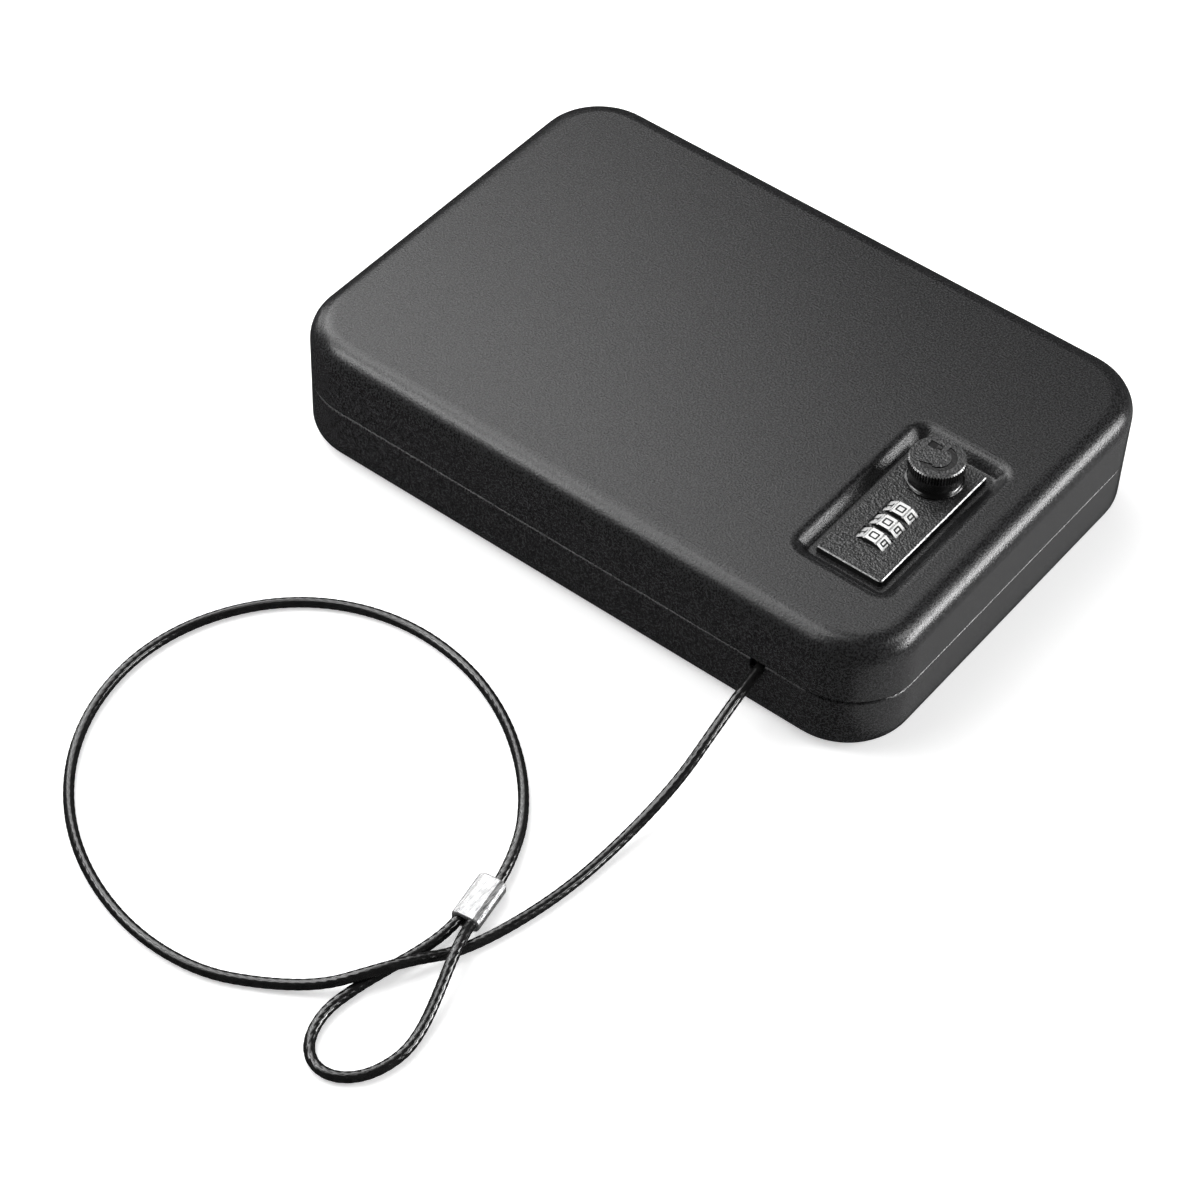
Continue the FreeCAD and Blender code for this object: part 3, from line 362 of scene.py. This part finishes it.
def aluminium():
    n = Nodes("ferrule_aluminium", (0.7, 0.7, 0.7), 0.3, 0.8)
    streak = n.noise(1, 3, 0.65, n.place((130, 3200, 3200), (0, 0, math.radians(170.5))))
    patch = n.noise(420, 3, 0.6)
    n.colours(n.math("ADD", n.math("MULTIPLY", streak, 0.6), n.math("MULTIPLY", patch, 0.4)), (0.36, (0.3, 0.3, 0.31)), (0.58, (0.68, 0.68, 0.68)))
    n.rough(streak, 0.2, 0.42)
    n.bump(streak, 0.4, 0.0001)
    return n.m


def foam():
    n = Nodes("liner_foam", (0.035, 0.035, 0.038), 0.95, Sheen_Weight=0.25, Sheen_Roughness=0.5)
    pores = n.cells(1500, "F1")
    fibre = n.noise(700, 4, 0.7)
    n.colours(n.math("ADD", n.math("MULTIPLY", pores, 0.5), n.math("MULTIPLY", fibre, 0.5)), (0.25, (0.014, 0.014, 0.016)), (0.62, (0.055, 0.055, 0.058)))
    n.rough(fibre, 0.85, 1.0)
    n.bump(n.math("ADD", pores, fibre), 0.8, 0.0005)
    return n.m


FINISH = {
    "powder_coat": powder_coat(), "plated_steel": steel(), "liner_foam": foam(), "lock_black": cast_black(),
    "knob_black": knob_black(), "dial_plated": dial_plate(), "brass": brass(), "slider_plastic": slider_plastic(),
    "cable_jacket": jacket(), "ferrule_aluminium": aluminium(),
}


def dress(o, *materials):
    o.data.materials.clear()
    for m in materials:
        o.data.materials.append(m)


for row in frame["record"]["subparts"]:
    dress(nodes[row["node"]], FINISH[row["material_slot"]])

side = dial_dark()
for i in (1, 2, 3):
    wheel = nodes["dial_wheel_%d" % i]
    dress(wheel, FINISH["dial_plated"], side)
    for p in wheel.data.polygons:
        p.material_index = 1 if abs(p.normal.x) > 0.7 else 0

# painted shade: the second material made here is a darker black for the plate's flanks and the knob's marks
worn, shade_paint = worn_edge(), painted_shade_black()
knob = nodes["knob"]
dress(knob, FINISH["knob_black"], worn, shade_paint)
for p in knob.data.polygons:
    c = p.center / MM
    r = math.hypot(c.x + 1.4, c.y + 86.2)
    tips = r > 8.85 and (c.z > 56.0 and 0.3 < p.normal.z < 0.95 or 52.3 < c.z < 52.75 and -0.95 < p.normal.z < -0.3)
    # painted shade: the walls of the knob's marks and the padlock's floor take the darker black
    walls = r < 8.3 and 56.21 < c.z < 56.49 and abs(p.normal.z) < 0.3
    shut = 2.2 < c.x + 1.4 < 5.3 and 2.6 < c.y + 86.2 < 5.8 and 56.0 < c.z < 56.45 and p.normal.z > 0.9
    p.material_index = 1 if tips else 2 if walls or shut else 0

plate = nodes["lock_housing"]
dress(plate, FINISH["lock_black"], worn, shade_paint)
for p in plate.data.polygons:
    c = p.center / MM
    rim = min(abs(c.x + 49.2), abs(c.x - 10.6), abs(c.y + 98.7), abs(c.y + 73.7)) < 0.36
    bevel = rim and 46.1 < c.z < 46.52 and 0.3 < p.normal.z < 0.95
    # painted shade: the plate's flanks take the darker black, for the shade in the gap around the plate
    p.material_index = 1 if bevel else 2 if rim and abs(p.normal.z) < 0.3 else 0

dress(cable, FINISH["cable_jacket"])
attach(cable, "base")
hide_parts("cable")

# ---------------------------------------------------------------- numerals on the dials
W, H = 1.12, 1.25
FIGURES = {
    0: [([(-1, -1), (-1, 1), (1, 1), (1, -1)], True)],
    1: [([(-0.65, 0.55), (0.05, 1), (0.05, -1)], False), ([(-0.6, -1), (0.7, -1)], False)],
    2: [([(-1, 1), (1, 1), (1, 0.05), (-1, -0.05), (-1, -1), (1, -1)], False)],
    3: [([(-1, 1), (1, 1), (1, -1), (-1, -1)], False), ([(-0.5, 0), (1, 0)], False)],
    4: [([(-0.35, 1), (-1, -0.35), (1, -0.35)], False), ([(0.45, 0.35), (0.45, -1)], False)],
    5: [([(1, 1), (-1, 1), (-1, 0.05), (1, 0.05), (1, -1), (-1, -1)], False)],
    6: [([(0.9, 1), (-1, 1), (-1, -1), (1, -1), (1, 0.05), (-1, 0.05)], False)],
    7: [([(-1, 1), (1, 1), (-0.25, -1)], False)],
    8: [([(-1, -1), (-1, 1), (1, 1), (1, -1)], True), ([(-1, 0), (1, 0)], False)],
    9: [([(-0.9, -1), (1, -1), (1, 1), (-1, 1), (-1, -0.05), (1, -0.05)], False)],
}


def rounded_run(points, closed, radius=0.2):
    """The stroke's middle line with its corners rounded."""
    out, n = [], len(points)
    for i, p in enumerate(points):
        p = Vector(p)
        if not closed and i in (0, n - 1):
            out.append(p)
            continue
        a, b = Vector(points[i - 1]) - p, Vector(points[(i + 1) % n]) - p
        cut = min(radius, a.length * 0.45, b.length * 0.45)
        one, two = p + a.normalized() * cut, p + b.normalized() * cut
        for k in range(5):
            t = k / 4
            out.append(one * (1 - t) ** 2 + p * 2 * t * (1 - t) + two * t * t)
    return out


def stroke(bm, points, closed, wide, low, high, put):
    """One stroke as a closed bar whose upper edges are eased."""
    n = len(points)
    sections = []
    for i, p in enumerate(points):
        a = points[i - 1] if (closed or i) else p
        b = points[(i + 1) % n] if (closed or i < n - 1) else p
        d1, d2 = (p - a), (b - p)
        d1 = d2.normalized() if d1.length < 1e-9 else d1.normalized()
        d2 = d1 if d2.length < 1e-9 else d2.normalized()
        t = (d1 + d2).normalized()
        m = Vector((-t.y, t.x)) / max(0.5, t.dot(d1))
        ends = 0 if closed else (-wide / 2 if i == 0 else wide / 2 if i == n - 1 else 0)
        c = p + t * ends
        e = 0.12 * wide
        sections.append([bm.verts.new(put(c + m * x, z)) for x, z in (
            (-wide / 2, low), (-wide / 2, high - e), (-wide / 2 + e, high), (wide / 2 - e, high), (wide / 2, high - e), (wide / 2, low))])
    pairs = list(zip(sections, sections[1:])) + ([(sections[-1], sections[0])] if closed else [])
    for one, two in pairs:
        for k in range(6):
            j = (k + 1) % 6
            bm.faces.new((one[k], two[k], two[j], one[j]))
    if not closed:
        bm.faces.new(sections[0])
        bm.faces.new(list(reversed(sections[-1])))


def numerals(i, x):
    bm = bmesh.new()
    for figure, strokes in FIGURES.items():
        turn = Matrix.Rotation(math.radians(-36 * figure), 3, "X")
        for order, (run, closed) in enumerate(strokes):
            line = [Vector((p[0] * W, p[1] * H)) for p in run]
            line = rounded_run(line, closed)

            def put(p, z):
                return (Vector((x, -86.2, 40.7)) + turn @ Vector((p.x, p.y, 7.3 + z))) * MM

            stroke(bm, line, closed, 0.68, -0.12, 0.05 - 0.012 * order, put)
    bmesh.ops.recalc_face_normals(bm, faces=bm.faces)
    mesh = bpy.data.meshes.new("dial_%d_numerals" % i)
    bm.to_mesh(mesh)
    bm.free()
    o = link(bpy.data.objects.new("dial_%d_numerals" % i, mesh))
    dress(o, numeral_ink)
    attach(o, "dial_%d" % i)


numeral_ink = ink()
for i, x in ((1, -35.2), (2, -27.8), (3, -20.4)):
    numerals(i, x)


# ---------------------------------------------------------------- foam liners
def liner(name, node, corner, down):
    """A cut foam sheet: soft rounded edge, slightly crowned, with a faint unevenness. Down: its show side faces down."""
    low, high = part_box(node)
    mid = (low + high) / 2
    hx, hy, hz = (high - low) / 2
    hx, hy = hx - 0.0003, hy - 0.0003
    thick = high.z - low.z
    soft = 2.6 * MM
    nx, ny = 56, 84
    bm = bmesh.new()

    def rows():
        for j in range(ny + 1):
            v = -1 + 2 * j / ny
            yield math.copysign(1 - (1 - abs(v)) ** 1.35, v) * hy

    def half(y):
        c = max(0.0, abs(y) - (hy - corner))
        return hx - corner + math.sqrt(max(corner * corner - c * c, 0.0))

    def inset(x, y):
        cx, cy = abs(x) - (hx - corner), abs(y) - (hy - corner)
        if cx > 0 and cy > 0:
            return max(0.0, corner - math.hypot(cx, cy))
        return max(0.0, min(hx - abs(x), hy - abs(y)))

    show, flat = [], []
    for y in rows():
        w = half(y)
        one, two = [], []
        for i in range(nx + 1):
            u = -1 + 2 * i / nx
            x = math.copysign(1 - (1 - abs(u)) ** 1.35, u) * w
            k = min(1.0, inset(x, y) / soft)
            edge = soft * (1 - math.sqrt(max(0.0, 1 - (1 - k) ** 2)))
            crown = 0.35 * MM * (1 - (x / hx) ** 2) * (1 - (y / hy) ** 2)
            sway = 0.10 * MM * (math.sin(61 * x + 1.3) * math.sin(47 * y + 0.4) + 0.6 * math.sin(113 * x - 89 * y)) * k
            top = thick - 0.45 * MM - edge + crown + sway
            one.append(bm.verts.new((mid.x + x, mid.y + y, high.z - top if down else low.z + top)))
            two.append(bm.verts.new((mid.x + x, mid.y + y, high.z - 0.05 * MM if down else low.z + 0.05 * MM)))
        show.append(one)
        flat.append(two)
    for g in (show, flat):
        for j in range(ny):
            for i in range(nx):
                bm.faces.new((g[j][i], g[j][i + 1], g[j + 1][i + 1], g[j + 1][i])).smooth = True
    for j in range(ny):
        for i in (0, nx):
            bm.faces.new((show[j][i], show[j + 1][i], flat[j + 1][i], flat[j][i])).smooth = True
    for i in range(nx):
        for j in (0, ny):
            bm.faces.new((show[j][i], show[j][i + 1], flat[j][i + 1], flat[j][i])).smooth = True
    bmesh.ops.remove_doubles(bm, verts=bm.verts, dist=1e-7)
    bmesh.ops.recalc_face_normals(bm, faces=bm.faces)
    mesh = bpy.data.meshes.new(name)
    bm.to_mesh(mesh)
    bm.free()
    o = link(bpy.data.objects.new(name, mesh))
    dress(o, FINISH["liner_foam"])
    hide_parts(node)
    return o


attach(liner("base_liner", "base_foam_pad", 16.5 * MM, False), "base")
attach(liner("lid_liner", "lid_foam_pad", 16.5 * MM, True), "lid")


# ---------------------------------------------------------------- floor and light
def make_floor():
    bm = bmesh.new()
    bmesh.ops.create_circle(bm, cap_ends=True, segments=96, radius=5)
    mesh = bpy.data.meshes.new("floor")
    bm.to_mesh(mesh)
    bm.free()
    o = link(bpy.data.objects.new("floor", mesh))
    o.location.z = -0.0003
    n = Nodes("floor_pale", (0.9, 0.9, 0.9), 0.9, Emission_Color=(1, 1, 1, 1), Emission_Strength=0.5)
    n.colours(n.noise(3, 2), (0.3, (0.89, 0.89, 0.89)), (0.7, (0.91, 0.91, 0.91)))
    far = n.new("ShaderNodeVectorMath", operation="LENGTH")
    n.join(n.at, far.inputs[0])
    n.join(n.spread(far.outputs["Value"], 0.5, 0.94, low_in=0.6, high_in=1.8), n.b.inputs["Emission Strength"])
    dress(o, n.m)
    o.visible_glossy = False


def soft_light(name, azimuth, elevation, distance, wide, tall, power, target=(-0.01, 0, 0.03)):
    """Azimuth is measured from +X towards +Y."""
    a, e = math.radians(azimuth), math.radians(elevation)
    d = Vector((math.cos(a) * math.cos(e), math.sin(a) * math.cos(e), math.sin(e)))
    data = bpy.data.lights.new(name, "AREA")
    data.shape = "RECTANGLE"
    data.size, data.size_y = wide, tall
    data.energy = power
    o = link(bpy.data.objects.new(name, data))
    o.location = Vector(target) + d * distance
    o.rotation_mode = "QUATERNION"
    o.rotation_quaternion = d.to_track_quat("Z", "Y")
    return o


make_floor()
for name, azimuth, elevation, wide, tall, power in (
        ("front_1", -68, 6, 0.46, 0.25, 5.9), ("front_2", -52, 6, 0.46, 0.25, 3.05), ("front_3", -52, 15, 0.46, 0.25, 3.6),
        ("front_4", -68, 34, 0.46, 0.25, 2.2), ("back_1", 64, 34, 0.44, 0.38, 1.5), ("back_2", 82, 34, 0.44, 0.38, 2.8),
        ("back_3", 150, 34, 0.44, 0.38, 0.45), ("back_4", 48, 46, 0.44, 0.38, 1.4), ("back_5", 126, 46, 0.44, 0.38, 3.8),
        ("back_6", 150, 46, 0.44, 0.38, 1.35), ("back_7", 16, 58, 0.44, 0.38, 0.76), ("back_8", 48, 58, 0.44, 0.38, 0.7),
        ("back_9", 82, 58, 0.44, 0.38, 2.75), ("back_10", 126, 70, 0.44, 0.38, 2.3), ("left_low", 84, 10, 0.4, 0.3, 1.1),
        ("top", 120, 86, 0.3, 0.3, 0.55)):
    soft_light(name, azimuth, elevation, 1.2, wide, tall, power)
above = soft_light("above", 0, 90, 2.2, 3.0, 3.0, 5.0)
above.visible_glossy = False
card = soft_light("front_card", 0, -90, 0.0305, 0.34, 0.34, 0.105, (0.075, -0.292, 0.0307))
card.visible_camera = False

world = bpy.data.worlds.new("studio")
scene.world = world
world.use_nodes = True
t = world.node_tree
t.nodes.clear()
out = t.nodes.new("ShaderNodeOutputWorld")
mix = t.nodes.new("ShaderNodeMixShader")
path = t.nodes.new("ShaderNodeLightPath")
dim, pale = t.nodes.new("ShaderNodeBackground"), t.nodes.new("ShaderNodeBackground")
dim.inputs["Color"].default_value = (0.02, 0.02, 0.02, 1)
pale.inputs["Color"].default_value = (0.95, 0.95, 0.95, 1)
t.links.new(path.outputs["Is Camera Ray"], mix.inputs[0])
t.links.new(dim.outputs[0], mix.inputs[1])
t.links.new(pale.outputs[0], mix.inputs[2])
t.links.new(mix.outputs[0], out.inputs["Surface"])
scene.view_settings.view_transform = "Standard"
